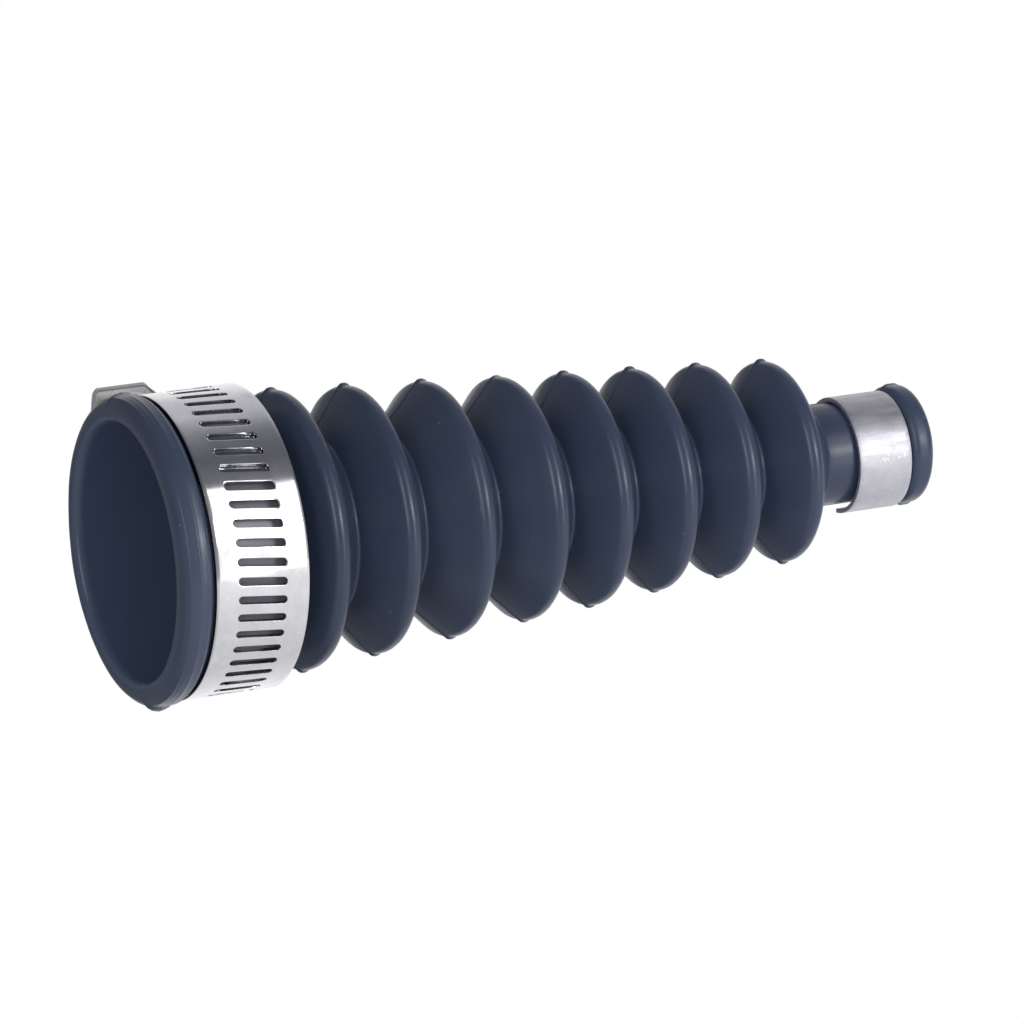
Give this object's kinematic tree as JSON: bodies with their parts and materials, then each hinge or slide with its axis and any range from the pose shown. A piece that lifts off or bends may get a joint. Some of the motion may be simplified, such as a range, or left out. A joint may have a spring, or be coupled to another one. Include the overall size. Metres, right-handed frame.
{
  "type": "bellows boot",
  "caption": "Tapered rubber bellows boot with a slotted worm-drive clamp round its mouth and a plain crimp sleeve round its neck.",
  "frame": {"origin": "centre of the mouth's flat end face, on the boot's axis", "axes": "+Z along the boot's axis from the mouth toward the neck; +X in the plane of the mould's parting line; +Y toward the side that faces the camera in the picture"},
  "size_m": [0.0409, 0.0512, 0.114],
  "materials": {
    "boot_rubber": "moulded, soft sheen",
    "band_steel": "polished strip",
    "housing_steel": "pressed, bright",
    "screw_steel": "zinc plated",
    "sleeve_steel": "satin"
  },
  "bodies": {
    "boot": {"bellows_boot": "boot_rubber", "clamp_band": "band_steel", "clamp_saddle": "band_steel", "clamp_housing": "housing_steel", "crimp_sleeve": "sleeve_steel"},
    "screw": {"clamp_screw": "screw_steel"}
  },
  "joints": [
    {"name": "screw_turn", "type": "hinge", "parent": "boot", "child": "screw", "pos_m": [0.01165, -0.02101, 0.01085], "axis": [0.8746, 0.4848, 0], "continuous": true}
  ]
}
